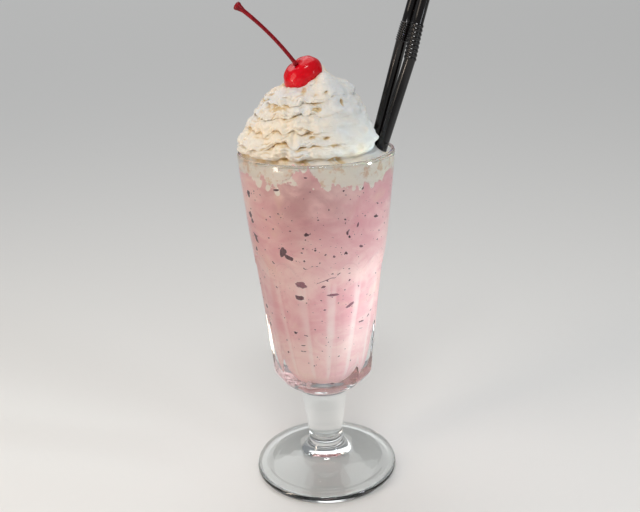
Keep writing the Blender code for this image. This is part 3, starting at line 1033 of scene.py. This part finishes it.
cherry_skin = Finish(
    "cherry skin",
    {
        "Roughness": 0.22,
        "Coat Weight": 0.25,
        "Coat Roughness": 0.05,
        "Specular IOR Level": 0.18,
        "Subsurface Weight": 0.10,
        "Subsurface Radius": (0.003, 0.0003, 0.0003),
        "Subsurface Scale": 1.0,
    },
)
blush = cherry_skin.noise(120.0, 3.0, 0.6).step(0.3, 0.7)
cherry_skin.colour(cherry_skin.blend(blush, paint(196, 0, 14), paint(214, 2, 26)))
cherry_skin.relief(cherry_skin.noise(500.0, 3.0) * 0.00008)
cherry_rows = cherry_rings()
cherry = make_piece("cherry_fruit", [skin(cherry_rows)], cherry_skin)
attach(cherry, "root")
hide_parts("cherry")


# Stalk: the cherry's own thin stem, dyed with the fruit, bowed a little and
# thickened to a knob where it was picked from the twig.

STALK_TOP = Vector((-0.0372, -0.0088, 0.2697))
STALK_BOW = 0.0016
STALK_BOW_WAY = Vector((0.72, 0.0, 0.69))
STALK_RADIUS = 0.0010
STALK_SIDES = 24
# Shares of its length where rings lie, closer together along the knob.
STALK_SHARES = (*np.linspace(0.01, 0.90, 40), *np.linspace(0.91, 1.0, 14))
# Shares of the stalk's length and how thick it is there, in radii.
STALK_GIRTH = (
    (0.0, 1.3),
    (0.08, 1.0),
    (0.60, 0.95),
    (0.88, 1.1),
    (0.935, 1.7),
    (0.965, 2.25),
    (0.985, 2.2),
    (0.995, 1.6),
    (1.0, 0.9),
)


def tube_ring(centre, way, radius, sides):
    """A ring of points square to a way, which is about upward."""
    turn = np.array(Vector(way).to_track_quat("Z", "Y").to_matrix())
    flat = hoop(radius, 0.0, sides)
    return flat @ turn.T + np.array(centre)


stalk_red = Finish("dyed stalk", {"Roughness": 0.35, "Specular IOR Level": 0.25})
streaks = stalk_red.noise(600.0, 3.0, 0.6).step(0.3, 0.7)
stalk_red.colour(stalk_red.blend(streaks, paint(104, 2, 14), paint(146, 10, 24)))
stalk_red.relief(stalk_red.noise(900.0, 2.0) * 0.0001)
root = Vector(cherry_rows[0][0])
bend = (root + STALK_TOP) / 2 + 2 * STALK_BOW * STALK_BOW_WAY
stalk_rows = [np.array([root])]
for share in STALK_SHARES:
    place = root * (1 - share) ** 2 + bend * 2 * share * (1 - share) + STALK_TOP * share**2
    way = (bend - root) * (1 - share) + (STALK_TOP - bend) * share
    girth = STALK_RADIUS * np.interp(share, *zip(*STALK_GIRTH))
    stalk_rows.append(tube_ring(place, way, girth, STALK_SIDES))
stalk_rows.append(np.array([STALK_TOP]))
stalk = make_piece("cherry_stem", [skin(stalk_rows)], stalk_red)
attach(stalk, "root")
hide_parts("cherry_stalk")


# Straws: two thin drinking straws drawn from black plastic, each with a folded
# stretch that lets it bend. They stand in the drink and lean on the rim.

STRAW_RADIUS = 0.0030
STRAW_BORE = 0.0027
STRAW_SIDES = 48
LOWER_RINGS = 12
UPPER_RINGS = 6
# How far the mouth's edge stands above the wall, and how far it draws in there.
MOUTH_ROUNDING = 0.0002
MOUTH_NARROWER = 0.00015
STRAWS = {
    "straw_left": {
        "foot": (-0.0002, 0.0081, 0.0730),
        "knee": (0.0468, 0.0115, 0.2478),
        "neck": (0.0498, 0.0117, 0.2573),
        "mouth": (0.0622, 0.0125, 0.2995),
    },
    "straw_right": {
        "foot": (-0.0045, -0.0001, 0.0730),
        "knee": (0.0503, 0.0044, 0.2387),
        "neck": (0.0543, 0.0049, 0.2570),
        "mouth": (0.0660, 0.0061, 0.2995),
    },
}
FOLDS = 9
FOLD_STEPS = 8
FOLD_HEIGHT = 0.00042

black = Finish("black straw plastic", {"Roughness": 0.17, "Specular IOR Level": 0.45})
tint = black.noise(60.0, 2.0)
black.colour(black.blend(tint, paint(8, 5, 5), paint(16, 12, 12)))
black.relief(black.noise(400.0, 2.0, place=black.stretched((1.0, 1.0, 0.1))) * 0.00003)


def straight_rings(start, run, count):
    """Rings round the outside of a straw along one straight run."""
    shares = np.linspace(0, 1, count)
    return [tube_ring(start + run * share, run, STRAW_RADIUS, STRAW_SIDES) for share in shares]


def straw(name, foot, knee, neck, mouth):
    """One straw: up its outside, over the mouth and down its bore."""
    foot, knee, neck, mouth = (np.array(point) for point in (foot, knee, neck, mouth))
    lower, folded, upper = knee - foot, neck - knee, mouth - neck
    rows = straight_rings(foot, lower, LOWER_RINGS)
    for step in range(1, FOLDS * FOLD_STEPS):
        share = step / (FOLDS * FOLD_STEPS)
        swing = ease(share, 0.0, 1.0)
        way = lower / np.linalg.norm(lower) * (1 - swing) + upper / np.linalg.norm(upper) * swing
        ridge = FOLD_HEIGHT * abs(math.sin(math.pi * step / FOLD_STEPS)) ** 1.2
        rows.append(tube_ring(knee + folded * share, way, STRAW_RADIUS + ridge, STRAW_SIDES))
    rows += straight_rings(neck, upper, UPPER_RINGS)
    lip = mouth + upper * MOUTH_ROUNDING / np.linalg.norm(upper)
    rows.append(tube_ring(lip, upper, STRAW_RADIUS - MOUTH_NARROWER, STRAW_SIDES))
    rows += [tube_ring(place, upper, STRAW_BORE, STRAW_SIDES) for place in (mouth, neck)]
    rows += [tube_ring(place, lower, STRAW_BORE, STRAW_SIDES) for place in (knee, foot)]
    tube = make_piece(name + "_tube", [skin(rows, looped=True)], black)
    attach(tube, "root")
    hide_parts(name)


for name, places in STRAWS.items():
    straw(name, **places)
